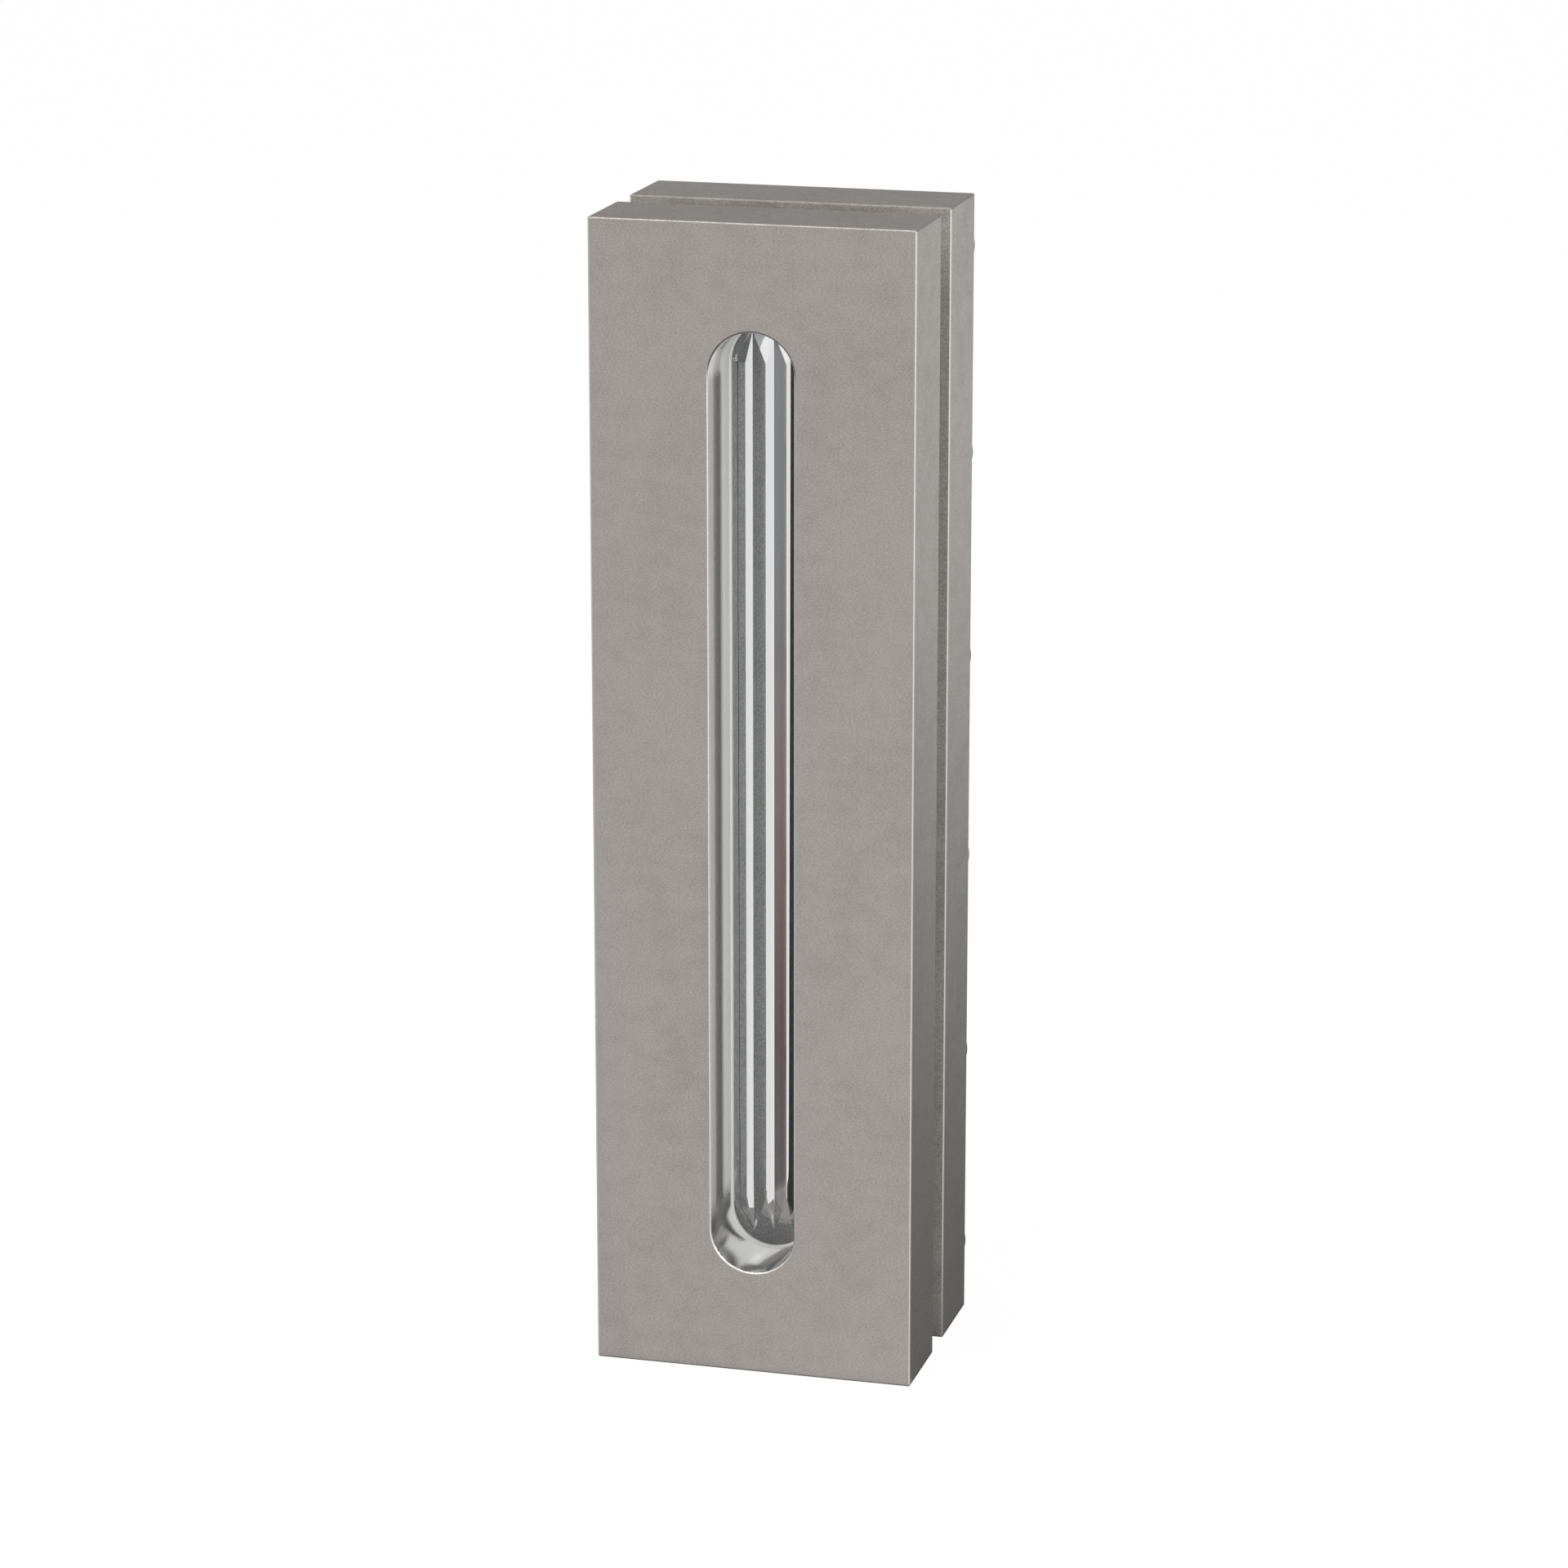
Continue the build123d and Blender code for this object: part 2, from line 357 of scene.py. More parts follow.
class StudioLook(bpy.types.PropertyGroup):
    """The floor, the air and the camera."""

    floor_size: bpy.props.FloatProperty(
        name="Floor size", description="Distance from the middle of the floor to its edges", default=6.0,
        unit="LENGTH")
    floor_colour: bpy.props.FloatVectorProperty(
        name="Floor", description="Colour of the plain floor", default=(0.86, 0.86, 0.86),
        subtype="COLOR", size=3)
    seen_level: bpy.props.FloatProperty(
        name="Level seen", description="How bright the camera sees the floor's glow", default=1.01, min=0)
    through_level: bpy.props.FloatProperty(
        name="Level through glass", description="How bright the floor and the air look through the glass",
        default=0.88, min=0, max=1, subtype="FACTOR")
    # Painted shadow: the floor behind the gauge is dark for the steel and bounced light, from this level near
    # the gauge out to its reach.
    painted_shadow_level: bpy.props.FloatProperty(
        name="Dim level", description="How bright the steel sees the floor just behind the gauge",
        default=0.2, min=0, max=1, subtype="FACTOR")
    painted_shadow_start: bpy.props.FloatProperty(
        name="Dim start", description="Distance from the gauge at which the floor starts to brighten again",
        default=0.05, unit="LENGTH")
    painted_shadow_reach: bpy.props.FloatProperty(
        name="Dim reach", description="Distance from the gauge at which the floor is fully bright again",
        default=1.15, unit="LENGTH")
    # Painted shadow under the gauge, for the same rays.
    under_shade: bpy.props.FloatProperty(
        name="Shade under", description="How much darker the steel sees the floor right under the gauge",
        default=0.9, min=0, max=1, subtype="FACTOR")
    air_level: bpy.props.FloatProperty(
        name="Air level", description="How bright the air is to everything but the camera and the glass",
        default=0.55, min=0, max=1, subtype="FACTOR")
    air_gloss: bpy.props.FloatProperty(
        name="Air gloss", description="How much brighter the steel mirrors that air", default=0.2,
        min=0, max=1, subtype="FACTOR")
    behind_shade: bpy.props.FloatProperty(
        name="Shade behind", description="How much darker the steel mirrors the air behind the gauge",
        default=0.28, min=0, max=1, subtype="FACTOR")
    lens: bpy.props.FloatProperty(
        name="Lens", description="Focal length in millimetres on a 36 mm sensor", default=122.175, min=1)
    azimuth: bpy.props.FloatProperty(
        name="Azimuth", description="Turn of the camera to the right of the front",
        default=math.radians(15.07), subtype="ANGLE")
    elevation: bpy.props.FloatProperty(
        name="Elevation", description="Height of the camera above the horizon", default=math.radians(15.07),
        subtype="ANGLE")
    distance: bpy.props.FloatProperty(
        name="Distance", description="Distance from the camera to the point that it faces", default=1.3056,
        unit="LENGTH")
    aim_depth: bpy.props.FloatProperty(
        name="Aim depth", description="Depth behind the weld face of the point that the camera faces",
        default=28.6 * mm, unit="LENGTH")
    aim_right: bpy.props.FloatProperty(
        name="Aim right", description="How far that point lies to the right in the picture",
        default=0.31 * mm, unit="LENGTH")
    aim_up: bpy.props.FloatProperty(
        name="Aim up", description="How far that point lies upwards in the picture", default=0.06 * mm,
        unit="LENGTH")


class Wire:
    """A value on its way through a shader tree. Arithmetic on it adds Math nodes."""

    def __init__(self, finish, socket):
        self.finish = finish
        self.socket = socket

    def math(self, operation, *values):
        return self.finish.math(operation, self, *values)

    def __add__(self, other):
        return self.finish.math("ADD", self, other)

    def __radd__(self, other):
        return self.finish.math("ADD", other, self)

    def __sub__(self, other):
        return self.finish.math("SUBTRACT", self, other)

    def __rsub__(self, other):
        return self.finish.math("SUBTRACT", other, self)

    def __mul__(self, other):
        return self.finish.math("MULTIPLY", self, other)

    def __rmul__(self, other):
        return self.finish.math("MULTIPLY", other, self)

    def __abs__(self):
        return self.finish.math("ABSOLUTE", self)

    def clamped(self):
        return self.finish.node("ShaderNodeClamp", {}, {"Value": self})["Result"]


class Finish:
    """A node tree being wired, of a material or of the world."""

    def __init__(self, owner):
        owner.use_nodes = True
        self.owner = owner
        self.tree = owner.node_tree
        self.tree.nodes.clear()

    def node(self, kind, settings, values):
        """Adds a node: first its settings, then its sockets, by name or number, each a value or a wire."""
        added = self.tree.nodes.new(kind)
        for name, value in settings.items():
            setattr(added, name, value)
        for key, value in values.items():
            socket = added.inputs[key]
            if isinstance(value, Wire):
                self.tree.links.new(value.socket, socket)
            else:
                socket.default_value = value
        return {output.name: Wire(self, output) for output in added.outputs if output.enabled}

    def math(self, operation, *values):
        return self.node("ShaderNodeMath", {"operation": operation}, dict(enumerate(values)))["Value"]

    def step(self, value, start, end):
        """A smooth step of the value: 0 at start and 1 at end, which may be the lower one."""
        low, high, first, last = (start, end, 0.0, 1.0) if start < end else (end, start, 1.0, 0.0)
        ranged = self.node("ShaderNodeMapRange", {"interpolation_type": "SMOOTHSTEP"}, {
            "Value": value, "From Min": low, "From Max": high, "To Min": first, "To Max": last})
        return ranged["Result"]

    def mix(self, share, start, end):
        """A colour between two colours."""
        mixed = self.node("ShaderNodeMix", {"data_type": "RGBA"}, {
            0: share, 6: full_colour(start), 7: full_colour(end)})
        return mixed["Result"]

    def place(self, scale=(1.0, 1.0, 1.0)):
        """Where a point lies on the piece, stretched by a scale."""
        where = self.node("ShaderNodeTexCoord", {}, {})["Object"]
        if scale == (1.0, 1.0, 1.0):
            return where
        return self.node("ShaderNodeMapping", {}, {"Vector": where, "Scale": scale})["Vector"]

    def axes(self):
        """Where a point lies on the piece, as three values named X, Y and Z."""
        return self.node("ShaderNodeSeparateXYZ", {}, {"Vector": self.place()})

    def noise(self, size, detail=2.0, rough=0.5, stretch=(1.0, 1.0, 1.0)):
        """Noise with specks of this size, from 0 to 1."""
        return self.node("ShaderNodeTexNoise", {}, {
            "Vector": self.place(stretch), "Scale": 1 / size, "Detail": detail, "Roughness": rough})["Fac"]

    def bump(self, height, depth, strength=1.0):
        """A normal that follows a height from 0 to 1."""
        return self.node("ShaderNodeBump", {}, {
            "Height": height, "Distance": depth, "Strength": strength})["Normal"]

    def surface(self, values):
        """The principled shader of the material, wired to its output."""
        shader = self.node("ShaderNodeBsdfPrincipled", {}, values)["BSDF"]
        self.node("ShaderNodeOutputMaterial", {}, {"Surface": shader})


def full_colour(colour):
    """A colour with alpha for a socket, or the wire as it is."""
    return colour if isinstance(colour, Wire) else (*colour[:3], 1.0)


def dress(piece, material):
    """Gives a piece this one material."""
    piece.data.materials.clear()
    piece.data.materials.append(material)


def zone(finish, distance, size, shares):
    """0 to 1 towards a face or an edge, where it starts and where it is full given as shares of a size."""
    start, full = shares
    return finish.step(distance, size * start, size * full)


def edge_zone(finish, axes, low, high, rounding):
    """1 on the rounded outer edges of a plate between these corners, and 0 on its flat faces."""
    near_faces = 0.0
    for name, first, last in zip("XYZ", low, high):
        middle, half = (first + last) / 2, (last - first) / 2
        inset = half - abs(axes[name] - middle)
        near_faces = zone(finish, inset, rounding, OUTER_EDGE) + near_faces
    return (near_faces - 1.0).clamped()


def outside_window(axes, sizes):
    """How far a point lies outside the window's wall."""
    straight = (sizes.window_length - sizes.window_width) / 2
    beyond = (abs(axes["Z"]) - straight).math("MAXIMUM", 0.0)
    return (axes["X"] * axes["X"] + beyond * beyond).math("SQRT") - sizes.window_width / 2


def plate_steel(name, low, high, outer_face, wall_look):
    """Satin steel of one plate, with worn edges that carry a painted highlight, a sawn inner face whose paler
    colour also paints in light in the gap, a painted highlight and painted shade on the window's rounding,
    and a look of its own for the window.

    That look gives the wall's colour, its roughness and how metallic it is.
    """
    look = bpy.context.scene.gauge_steel
    sizes = bpy.context.scene.gauge_plates
    rounding = sizes.edge_rounding
    half_window = sizes.window_length / 2
    finish = Finish(bpy.data.materials.new(name))
    axes = finish.axes()

    # Grain and stains
    grain = finish.noise(look.grain_size, detail=3.0, rough=0.65, stretch=(0.6, 0.6, 1.2))
    clouds = finish.noise(look.cloud_size, detail=6.0, rough=0.68, stretch=(0.7, 0.7, 1.0))
    drifts = finish.noise(look.cloud_size * DRIFT_SCALE, detail=4.0, rough=0.6, stretch=(1.0, 1.0, 0.6))
    stain = finish.step(clouds * CLOUD_SHARE + drifts * (1 - CLOUD_SHARE), *STAIN_RANGE)
    specks = finish.step(grain, *SPECK_RANGE)

    # The window's wall, and the painted highlight and painted shade on its rounding
    outside = outside_window(axes, sizes)
    behind_face = abs(axes["Y"] - outer_face)
    wall = finish.step(outside, *WALL_OUTSIDE) * finish.step(behind_face, *WALL_BEHIND_FACE)
    rounded = zone(finish, outside, rounding, WINDOW_EDGE) * (1 - wall)
    top = finish.step(half_window - axes["Z"], *SHADED_TOP)
    side = finish.step(axes["X"], *LIT_SIDE)
    foot = finish.step(half_window + axes["Z"], *LIT_FOOT)
    light = (side * SIDE_LIGHT + foot * FOOT_LIGHT + EVEN_LIGHT) * (1 - top)
    speckled_highlight = light.clamped() * (SPECK_LIGHT + specks * (1 - SPECK_LIGHT))
    # Painted highlight on the window's rounding
    rim = rounded * zone(finish, behind_face, rounding, RIM_DEPTH) * speckled_highlight

    # The plate's edges and its inner face
    upper = zone(finish, high.z - axes["Z"], rounding, UPPER_EDGE)
    # Painted highlight on the worn edges, weaker on the upper edges
    edge = edge_zone(finish, axes, low, high, rounding) * (1 - upper * UPPER_EDGE_HIGHLIGHT_CUT)
    inner_face = low.y + high.y - outer_face
    inner = zone(finish, abs(axes["Y"] - inner_face), rounding, INNER_FACE)

    # Colour
    wall_colour, wall_roughness, wall_metal = wall_look(finish, axes, sizes)
    grained = finish.step(grain, *GRAIN_RANGE) * (1 - SATIN_STAIN)
    satin = finish.mix(stain * SATIN_STAIN + grained, look.colour, look.stain)
    # The sawn colour also paints in light in the gap between the plates
    sawn = finish.mix(stain * SAWN_STAIN + specks * SAWN_SPECKS, look.sawn, look.stain)
    body = finish.mix(wall, finish.mix(inner, satin, sawn), wall_colour)
    # Painted shade darkens the top of the window's rounding
    body = finish.mix(rounded * top * TOP_SHADE, body, look.painted_wall_shade)
    # Worn edges with a painted highlight, and the painted highlight on the window's rounding
    colour = finish.mix(rim, finish.mix(edge, body, look.worn_highlit_edge), look.rim)

    # Roughness and relief
    uneven = look.roughness + (grain - 0.5) * GRAIN_SPREAD + (clouds - 0.5) * CLOUD_SPREAD
    flat = uneven * (1 - inner) + inner * look.inner_roughness
    bright = (edge + rim).clamped()
    roughness = (flat * (1 - wall) + wall * wall_roughness) * (1 - bright) + bright * look.edge_roughness
    finish.surface({
        "Base Color": colour, "Metallic": 1 - wall * (1 - wall_metal), "Roughness": roughness,
        "Normal": finish.bump(grain * (1 - wall), PLATE_RELIEF, strength=0.6)})
    return finish.owner


class GAUGE_OT_weld_plate(bpy.types.Operator):
    """Finish the weld plate in satin steel with a polished window, pale and dull where a reflection is
    painted on its wall
    """
    bl_idname = "gauge.weld_plate"
    bl_label = "Weld plate"

    def execute(self, context):
        look = context.scene.gauge_steel

        def polished_wall(finish, axes, sizes):
            """Bright metal, pale and dull where a reflection is painted next to the seal, at the mouth and
            near the top.
            """
            half_window = sizes.window_length / 2
            from_top = half_window - axes["Z"]
            # Where the painted reflection shows: next to the seal, at the mouth and near the top
            seal = finish.step(axes["Y"], look.painted_reflection_start, look.painted_reflection_full)
            mouth = finish.step(axes["Y"], *REFLECTION_MOUTH)
            top = finish.step(from_top, *REFLECTION_TOP_START) * finish.step(from_top, *REFLECTION_TOP_END)
            above_foot = finish.step(half_window + axes["Z"], *CLEAR_FOOT)
            painted_reflection = (seal + mouth * MOUTH_REFLECTION + top * TOP_REFLECTION + EVEN_REFLECTION).clamped() * above_foot
            roughness = look.wall_roughness + painted_reflection * REFLECTION_PATCH_SPREAD
            return finish.mix(painted_reflection, look.polished, look.painted_reflection), roughness, 1 - painted_reflection

        dress(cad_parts["weld_plate"], plate_steel(
            "weld_plate_satin", weld_low, weld_high, weld_low.y, polished_wall))
        return {"FINISHED"}


class GAUGE_OT_cover_plate(bpy.types.Operator):
    """Finish the cover plate in the same steel, with reflections and shade painted on its window's wall"""
    bl_idname = "gauge.cover_plate"
    bl_label = "Cover plate"

    def execute(self, context):
        look = context.scene.gauge_steel

        def painted_wall_reflection(finish, axes, sizes):
            """Painted reflections, blue-grey, then red-brown, then pale at the foot, and a dark painted shade
            where the wall turns from the light.
            """
            # Painted reflections tint the wall up its height, and painted shade darkens the side turned from
            # the light
            tint = finish.mix(finish.step(axes["Z"], *LOWER_REFLECTION_ZONE), look.upper_wall_reflection, look.lower_wall_reflection)
            tint = finish.mix(finish.step(axes["Z"], *FOOT_REFLECTION_ZONE), tint, look.foot_wall_reflection)
            turned = finish.step(axes["X"], *PAINTED_SHADE_SIDE)
            roughness = look.roughness * TINTED_SHARE * (1 - turned) + turned
            return finish.mix(turned, tint, look.painted_wall_shade), roughness, 1 - turned

        dress(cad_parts["cover_plate"], plate_steel(
            "cover_plate_satin", cover_low, cover_high, cover_high.y, painted_wall_reflection))
        return {"FINISHED"}


class GAUGE_OT_glass(bpy.types.Operator):
    """Finish the ridged glass block"""
    bl_idname = "gauge.glass"
    bl_label = "Reflex glass"

    def execute(self, context):
        look = context.scene.gauge_glass
        finish = Finish(bpy.data.materials.new("pressed_glass"))
        finish.surface({
            "Base Color": full_colour(look.tint), "Roughness": 0.0, "IOR": look.index,
            "Transmission Weight": 1.0})
        dress(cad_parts["reflex_glass"], finish.owner)
        return {"FINISHED"}


def facing_circle(shape, segments, radius, depth, turn=0.0):
    """A circle that faces along the depth, at this depth."""
    upright = Matrix.Translation((0, depth, 0)) @ Matrix.Rotation(math.pi / 2, 4, "X")
    turned = Matrix.Rotation(turn, 4, "Z")
    return bmesh.ops.create_circle(shape, segments=segments, radius=radius, matrix=upright @ turned)["verts"]


def lines_of(corners):
    """The edges that run between these corners, in order."""
    return list(dict.fromkeys(line for corner in corners for line in corner.link_edges))


def round_ended_ring(outer, inner, near, far, softening, inner_softening):
    """A flat ring between two round-ended outlines, each a width and a length, with softened edges."""
    shape = bmesh.new()
    outlines = []
    for width, length in (outer, inner):
        outline = facing_circle(shape, RING_SEGMENTS, width / 2, near, math.pi / RING_SEGMENTS)
        for half in (1, -1):
            end = [corner for corner in outline if corner.co.z * half > 0]
            bmesh.ops.translate(shape, verts=end, vec=(0, 0, half * (length - width) / 2))
        outlines += lines_of(outline)
    flat = bmesh.ops.bridge_loops(shape, edges=outlines)["faces"]
    lifted = bmesh.ops.extrude_face_region(shape, geom=flat)["geom"]
    bmesh.ops.translate(shape, verts=[part for part in lifted if isinstance(part, bmesh.types.BMVert)],
                        vec=(0, far - near, 0))
    bmesh.ops.recalc_face_normals(shape, faces=shape.faces)
    straight = (inner[1] - inner[0]) / 2
    middle_of_ring = (inner[0] + outer[0]) / 4
    for reach, radius, segments in (
        (middle_of_ring, inner_softening, BULGE_SEGMENTS), (math.inf, softening, SOFTENING_SEGMENTS),
    ):
        corners = []
        for line in shape.edges:
            end = line.verts[0].co
            distance = math.hypot(end.x, max(abs(end.z) - straight, 0))
            if distance < reach and line.calc_face_angle() > CORNER_ANGLE:
                corners.append(line)
        bmesh.ops.bevel(shape, geom=corners, offset=radius, affect="EDGES", segments=segments, profile=0.5,
                        material=-1)
    return shape


def finished_piece(name, shape, node):
    """The object made from a closed shape, which rides on the gauge in place of a node."""
    if any(not line.is_manifold for line in shape.edges):
        raise RuntimeError(name + " is not closed")
    mesh = bpy.data.meshes.new(name)
    shape.to_mesh(mesh)
    mesh.shade_smooth()
    mesh.set_sharp_from_angle(angle=SHARP_ANGLE)
    piece = bpy.data.objects.new(name, mesh)
    bpy.context.scene.collection.objects.link(piece)
    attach(piece, "root")
    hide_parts(node)
    return piece


def pressed_fibre(name, contrast):
    """The pale fibre of a gasket, with specks of this contrast. Their mean colour stays the same."""
    look = bpy.context.scene.gauge_glass
    finish = Finish(bpy.data.materials.new(name))
    specks = finish.noise(look.speck_size, detail=3.0, rough=0.6)
    dark = finish.step(specks, *FIBRE_RANGE) * contrast + DARK_SHARE * (1 - contrast)
    finish.surface({
        "Base Color": finish.mix(dark, look.fibre, look.fibre_dark), "Roughness": look.fibre_roughness,
        "Normal": finish.bump(specks, FIBRE_RELIEF, strength=0.5 * contrast)})
    return finish.owner


class GAUGE_OT_gaskets(bpy.types.Operator):
    """Make the sealing gasket and the cushion gasket"""
    bl_idname = "gauge.gaskets"
    bl_label = "Gaskets"

    def execute(self, context):
        look = context.scene.gauge_glass
        sizes = context.scene.gauge_plates
        glass = (glass_high.x - glass_low.x, glass_high.z - glass_low.z)
        seal_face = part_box("sealing_gasket")[0].y
        cushion_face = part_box("cushion_gasket")[1].y
        glass_front, glass_back = glass_low.y - look.clearance, glass_high.y + look.clearance
        for node, near, far, squeeze, rounding, contrast in (
            ("sealing_gasket", seal_face, glass_front, look.squeeze, look.bulge, SEAL_CONTRAST),
            ("cushion_gasket", glass_back, cushion_face, 0.0, look.softening, CUSHION_CONTRAST),
        ):
            window = (sizes.window_width - 2 * squeeze, sizes.window_length - 2 * squeeze)
            shape = round_ended_ring(glass, window, near, far, look.softening, rounding)
            piece = finished_piece(node + "_ring", shape, node)
            shape.free()
            dress(piece, pressed_fibre(node + "_fibre", contrast))
        return {"FINISHED"}


def thread(shape, radius, pitch, tip, end):
    """An open thread between two depths. Returns the edges of its cut at the tip and at the end."""
    inward = -THREAD_DEPTH * pitch
    crest = ROOT_FLAT + (1 - ROOT_FLAT - CREST_FLAT) / 2
    turns = math.ceil((end - tip) / pitch) + 3
    profile = ((inward, 0), (inward, ROOT_FLAT), (0, crest), (0, crest + CREST_FLAT), (inward, 1))
    first = tip - 2 * pitch
    corners = [shape.verts.new((radius + height, first + share * pitch, 0)) for height, share in profile]
    lines = [shape.edges.new(pair) for pair in zip(corners, corners[1:])]
    bmesh.ops.spin(
        shape, geom=corners + lines, cent=(0, 0, 0), axis=(0, 1, 0), dvec=(0, pitch / THREAD_STEPS, 0),
        angle=math.tau * turns, steps=THREAD_STEPS * turns, use_merge=False, use_duplicate=False)
    bmesh.ops.remove_doubles(shape, verts=shape.verts, dist=MERGE_DISTANCE)
    cuts = []
    for depth, way in ((tip, -1), (end, 1)):
        cut = bmesh.ops.bisect_plane(
            shape, geom=shape.verts[:] + shape.edges[:] + shape.faces[:], dist=CUT_DISTANCE,
            plane_co=(0, depth, 0), plane_no=(0, way, 0), clear_outer=True)["geom_cut"]
        cuts.append([part for part in cut if isinstance(part, bmesh.types.BMEdge)])
    return cuts


def next_ring(shape, lines, reach, depth):
    """Extrudes a ring of edges to this depth. Its reach is a function of the turn, or one radius."""
    grown = bmesh.ops.extrude_edge_only(shape, edges=lines)["geom"]
    for corner in grown:
        if isinstance(corner, bmesh.types.BMVert):
            turn = math.atan2(corner.co.z, corner.co.x)
            radius = reach(turn) if callable(reach) else reach
            corner.co = (radius * math.cos(turn), depth, radius * math.sin(turn))
    return [line for line in grown if isinstance(line, bmesh.types.BMEdge)]


def cap_screw(seat):
    """A knurled socket head cap screw on the depth axis, its head on this seat."""
    sizes = bpy.context.scene.gauge_screws
    shape = bmesh.new()
    radius = sizes.thread_diameter / 2
    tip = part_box("cover_screw_left_1")[0].y
    runout = sizes.thread_pitch / 2
    thread_end = tip + sizes.thread_length - runout
    tip_cut, end_cut = thread(shape, radius, sizes.thread_pitch, tip + sizes.tip_chamfer, thread_end)
    tip_ring = lines_of(facing_circle(shape, THREAD_STEPS, radius - sizes.tip_chamfer, tip))
    bmesh.ops.bridge_loops(shape, edges=tip_cut + tip_ring)
    bmesh.ops.holes_fill(shape, edges=tip_ring)
    head = sizes.head_diameter / 2
    rim = sizes.head_rim
    top = seat + sizes.head_height
    shoulder = top - sizes.head_chamfer
    floor = top - sizes.socket_depth
    flat = sizes.socket_across_flats / 2
    corner = flat / math.cos(math.pi / 6)
    drilled = corner / 4

    def knurled(turn):
        return head - sizes.knurl_depth * (round(turn / math.tau * HEAD_SEGMENTS) % 2)

    def hexagon(turn):
        return flat / math.cos(turn % (math.pi / 3) - math.pi / 6)

    ring = lines_of(facing_circle(shape, HEAD_SEGMENTS, radius, thread_end + runout))
    bmesh.ops.bridge_loops(shape, edges=end_cut + ring)
    for reach, depth in (
        (radius, seat), (head - rim, seat), (head, seat + rim), (knurled, seat + 1.5 * rim),
        (knurled, shoulder - 0.5 * rim), (head, shoulder), (head - sizes.head_chamfer, top),
        (corner + sizes.socket_margin, top), (hexagon, top - sizes.socket_chamfer), (hexagon, floor),
        (drilled, floor - drilled),
    ):
        ring = next_ring(shape, ring, reach, depth)
    bmesh.ops.holes_fill(shape, edges=ring)
    bmesh.ops.recalc_face_normals(shape, faces=shape.faces)
    return shape


def screw_steel():
    """Plain screw steel with fine drawing marks and a little oil darkening."""
    look = bpy.context.scene.gauge_screws
    finish = Finish(bpy.data.materials.new("screw_steel_drawn"))
    marks = finish.noise(MARK_SIZE, detail=3.0, rough=0.6, stretch=(1.0, 0.3, 1.0))
    film = finish.noise(FILM_SIZE, detail=3.0, rough=0.5)
    oiled = [part * OIL_SHADE for part in look.colour]
    oil = finish.step(film * FILM_SHARE + marks * (1 - FILM_SHARE), *OIL_RANGE)
    finish.surface({
        "Base Color": finish.mix(oil, look.colour, oiled), "Metallic": 1.0,
        "Roughness": look.roughness + (marks - 0.5) * MARK_SPREAD,
        "Normal": finish.bump(marks, SCREW_RELIEF, strength=0.5)})
    return finish.owner


class GAUGE_OT_screws(bpy.types.Operator):
    """Make the twelve cap screws"""
    bl_idname = "gauge.screws"
    bl_label = "Cap screws"

    def execute(self, context):
        steel = screw_steel()
        pattern = cap_screw(cover_high.y)
        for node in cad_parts:
            if not node.startswith("cover_screw"):
                continue
            low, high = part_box(node)
            shape = pattern.copy()
            middle = ((low.x + high.x) / 2, 0, (low.z + high.z) / 2)
            bmesh.ops.translate(shape, verts=shape.verts, vec=middle)
            piece = finished_piece(node.replace("cover", "cap"), shape, node)
            shape.free()
            dress(piece, steel)
        pattern.free()
        return {"FINISHED"}


class GAUGE_OT_stage(bpy.types.Operator):
    """Lay the floor, hang the lamps and set the camera"""
    bl_idname = "gauge.stage"
    bl_label = "Stage"

    def execute(self, context):
        look = context.scene.gauge_studio
        make_floor(look)
        make_world(look)
        make_lamp("key_lamp", azimuth=-35, elevation=48, distance=1.9, size=1.1, power=11)
        make_lamp("right_lamp", azimuth=40, elevation=15, distance=1.6, size=0.8, power=9)
        make_lamp("top_lamp", azimuth=10, elevation=80, distance=1.6, size=0.9, power=2)
        make_camera(look)
        return {"FINISHED"}


def direction(azimuth, elevation):
    """The way from the gauge to something seen at these angles: 0 is straight in front, 90 to the right."""
    return Vector((math.sin(azimuth) * math.cos(elevation), -math.cos(azimuth) * math.cos(elevation),
                   math.sin(elevation)))


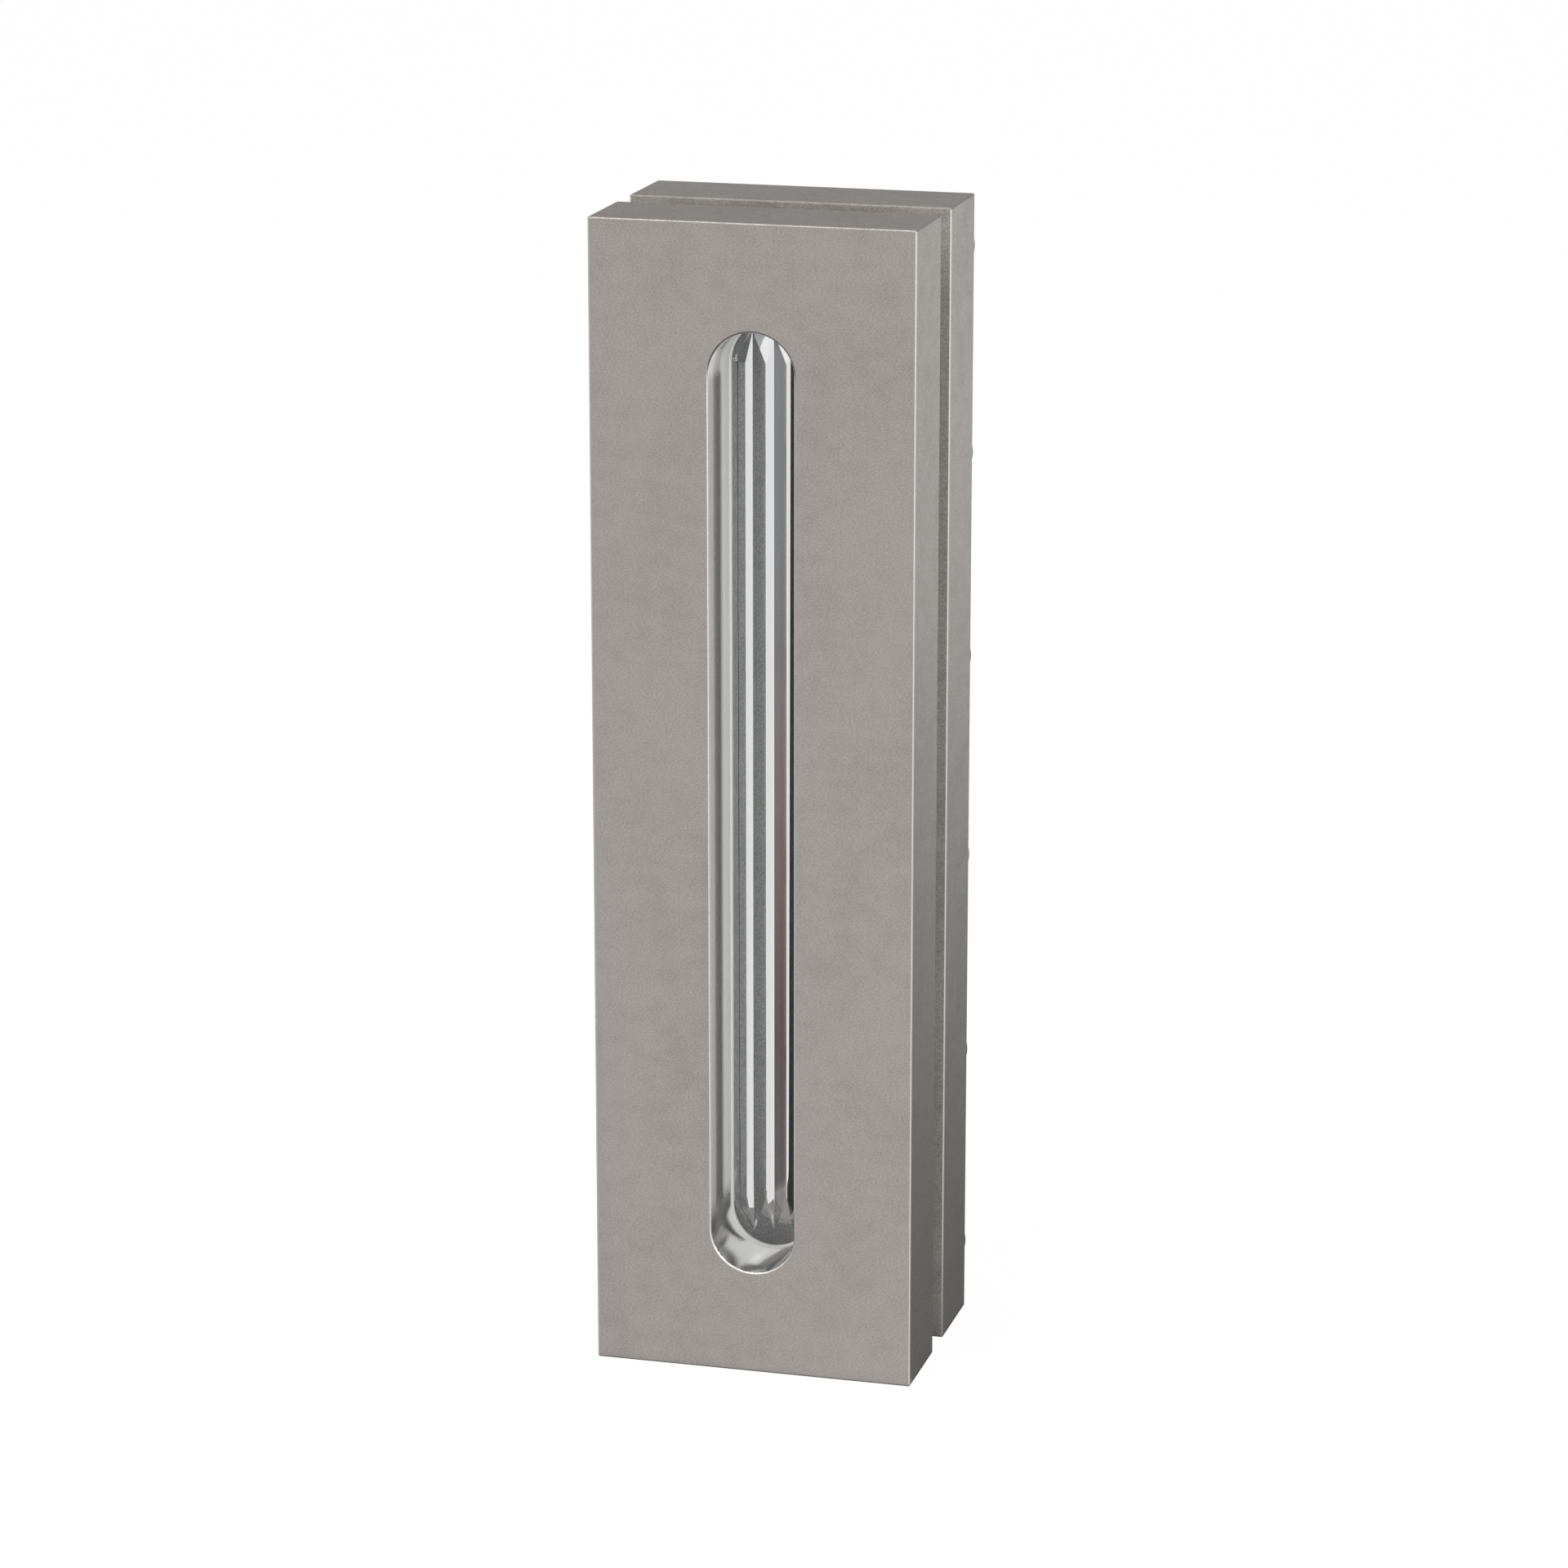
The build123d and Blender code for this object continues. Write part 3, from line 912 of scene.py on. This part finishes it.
def make_floor(look):
    """A pale floor, white to the camera but for a trace of real shadow, with a painted shadow near the gauge
    that all rays but the camera's and the glass's see.
    """
    shape = bmesh.new()
    bmesh.ops.create_grid(shape, x_segments=1, y_segments=1, size=look.floor_size,
                          matrix=Matrix.Translation((0, 0, cad_low.z)))
    mesh = bpy.data.meshes.new("floor")
    shape.to_mesh(mesh)
    shape.free()
    floor = bpy.data.objects.new("floor", mesh)
    bpy.context.scene.collection.objects.link(floor)
    finish = Finish(bpy.data.materials.new("floor_paper"))
    path = finish.node("ShaderNodeLightPath", {}, {})
    axes = finish.axes()
    away = (axes["X"] * axes["X"] + axes["Y"] * axes["Y"]).math("SQRT")
    # Painted shadow on the floor behind and under the gauge, for all rays but the camera's and the glass's
    behind = finish.step(axes["Y"], *FLOOR_BEHIND)
    painted_shadow = behind * (1 - finish.step(away, look.painted_shadow_start, look.painted_shadow_reach)) * (1 - look.painted_shadow_level)
    within = finish.step(abs(axes["X"]), cad_high.x + FOOT_EDGE, cad_high.x)
    under = finish.step(axes["Y"], -FOOT_EDGE, 0.0) * within
    level = (1 - painted_shadow) * (1 - under * look.under_shade)
    seen, through = path["Is Camera Ray"], path["Is Transmission Ray"]
    share = ((seen + through) * SEEN_GLOW + path["Is Glossy Ray"] * GLOSSY_GLOW).math("MINIMUM", SEEN_GLOW)
    strength = seen * look.seen_level + through * look.through_level + (1 - seen - through).clamped() * level
    paper = finish.node("ShaderNodeBsdfDiffuse", {}, {"Color": full_colour(look.floor_colour)})["BSDF"]
    glow = finish.node("ShaderNodeEmission", {}, {"Color": (1, 1, 1, 1), "Strength": strength})["Emission"]
    mixed = finish.node("ShaderNodeMixShader", {}, {0: share, 1: paper, 2: glow})["Shader"]
    finish.node("ShaderNodeOutputMaterial", {}, {"Surface": mixed})
    dress(floor, finish.owner)


def make_world(look):
    """A plain world: white to the camera, and a little darker to the steel behind the gauge."""
    world = bpy.data.worlds.new("studio_air")
    bpy.context.scene.world = world
    finish = Finish(world)
    path = finish.node("ShaderNodeLightPath", {}, {})
    seen, through, glossy = path["Is Camera Ray"], path["Is Transmission Ray"], path["Is Glossy Ray"]
    way = finish.node("ShaderNodeTexCoord", {}, {})["Generated"]
    behind = finish.step(finish.node("ShaderNodeSeparateXYZ", {}, {"Vector": way})["Y"], *AIR_BEHIND)
    mirrored = glossy * (look.air_gloss - behind * look.behind_shade)
    to_steel = (1 - seen - through).clamped() * (look.air_level + mirrored)
    strength = seen + through * look.through_level + to_steel
    sky = finish.node("ShaderNodeBackground", {}, {"Color": (1, 1, 1, 1), "Strength": strength})["Background"]
    finish.node("ShaderNodeOutputWorld", {}, {"Surface": sky})


def make_lamp(name, azimuth, elevation, distance, size, power):
    """A square soft lamp that faces the middle of the gauge."""
    lamp = bpy.data.lights.new(name, "AREA")
    lamp.shape = "SQUARE"
    lamp.size = size
    lamp.energy = power
    holder = bpy.data.objects.new(name, lamp)
    bpy.context.scene.collection.objects.link(holder)
    way = direction(math.radians(azimuth), math.radians(elevation))
    holder.location = way * distance
    holder.rotation_euler = (-way).to_track_quat("-Z", "Y").to_euler()


def make_camera(look):
    """The camera at the angle of the reference view."""
    camera = bpy.data.cameras.new("camera")
    camera.sensor_width = 36
    camera.lens = look.lens
    camera.clip_start = 0.01
    holder = bpy.data.objects.new("camera", camera)
    bpy.context.scene.collection.objects.link(holder)
    back = direction(look.azimuth, look.elevation)
    right = Vector((math.cos(look.azimuth), math.sin(look.azimuth), 0))
    up = back.cross(right)
    aim = Vector((0, look.aim_depth, 0)) + right * look.aim_right + up * look.aim_up
    holder.location = aim + back * look.distance
    holder.rotation_euler = (-back).to_track_quat("-Z", "Y").to_euler()
    bpy.context.scene.camera = holder


class GAUGE_PT_sidebar(bpy.types.Panel):
    """The steps that finish the gauge"""
    bl_label = "Level gauge"
    bl_idname = "GAUGE_PT_sidebar"
    bl_space_type = "VIEW_3D"
    bl_region_type = "UI"
    bl_category = "Level gauge"

    def draw(self, context):
        for step in STEPS:
            self.layout.operator(step.bl_idname)


GROUPS = {
    "gauge_plates": PlateSizes,
    "gauge_steel": SteelLook,
    "gauge_screws": ScrewSizes,
    "gauge_glass": GlassLook,
    "gauge_studio": StudioLook,
}
STEPS = (GAUGE_OT_stage, GAUGE_OT_weld_plate, GAUGE_OT_cover_plate, GAUGE_OT_glass, GAUGE_OT_gaskets,
         GAUGE_OT_screws)


def register():
    """Registers the groups, the operators and the panel."""
    for name, group in GROUPS.items():
        bpy.utils.register_class(group)
        setattr(bpy.types.Scene, name, bpy.props.PointerProperty(type=group))
    for step in STEPS:
        bpy.utils.register_class(step)
    bpy.utils.register_class(GAUGE_PT_sidebar)


def unregister():
    """Removes what register added."""
    bpy.utils.unregister_class(GAUGE_PT_sidebar)
    for step in reversed(STEPS):
        bpy.utils.unregister_class(step)
    for name, group in reversed(GROUPS.items()):
        delattr(bpy.types.Scene, name)
        bpy.utils.unregister_class(group)


def main():
    """Registers the groups and steps, and runs every step in order."""
    register()
    bpy.ops.gauge.stage()
    bpy.ops.gauge.weld_plate()
    bpy.ops.gauge.cover_plate()
    bpy.ops.gauge.glass()
    bpy.ops.gauge.gaskets()
    bpy.ops.gauge.screws()
    bpy.context.scene.view_settings.view_transform = "Standard"


if __name__ == "__main__":
    main()
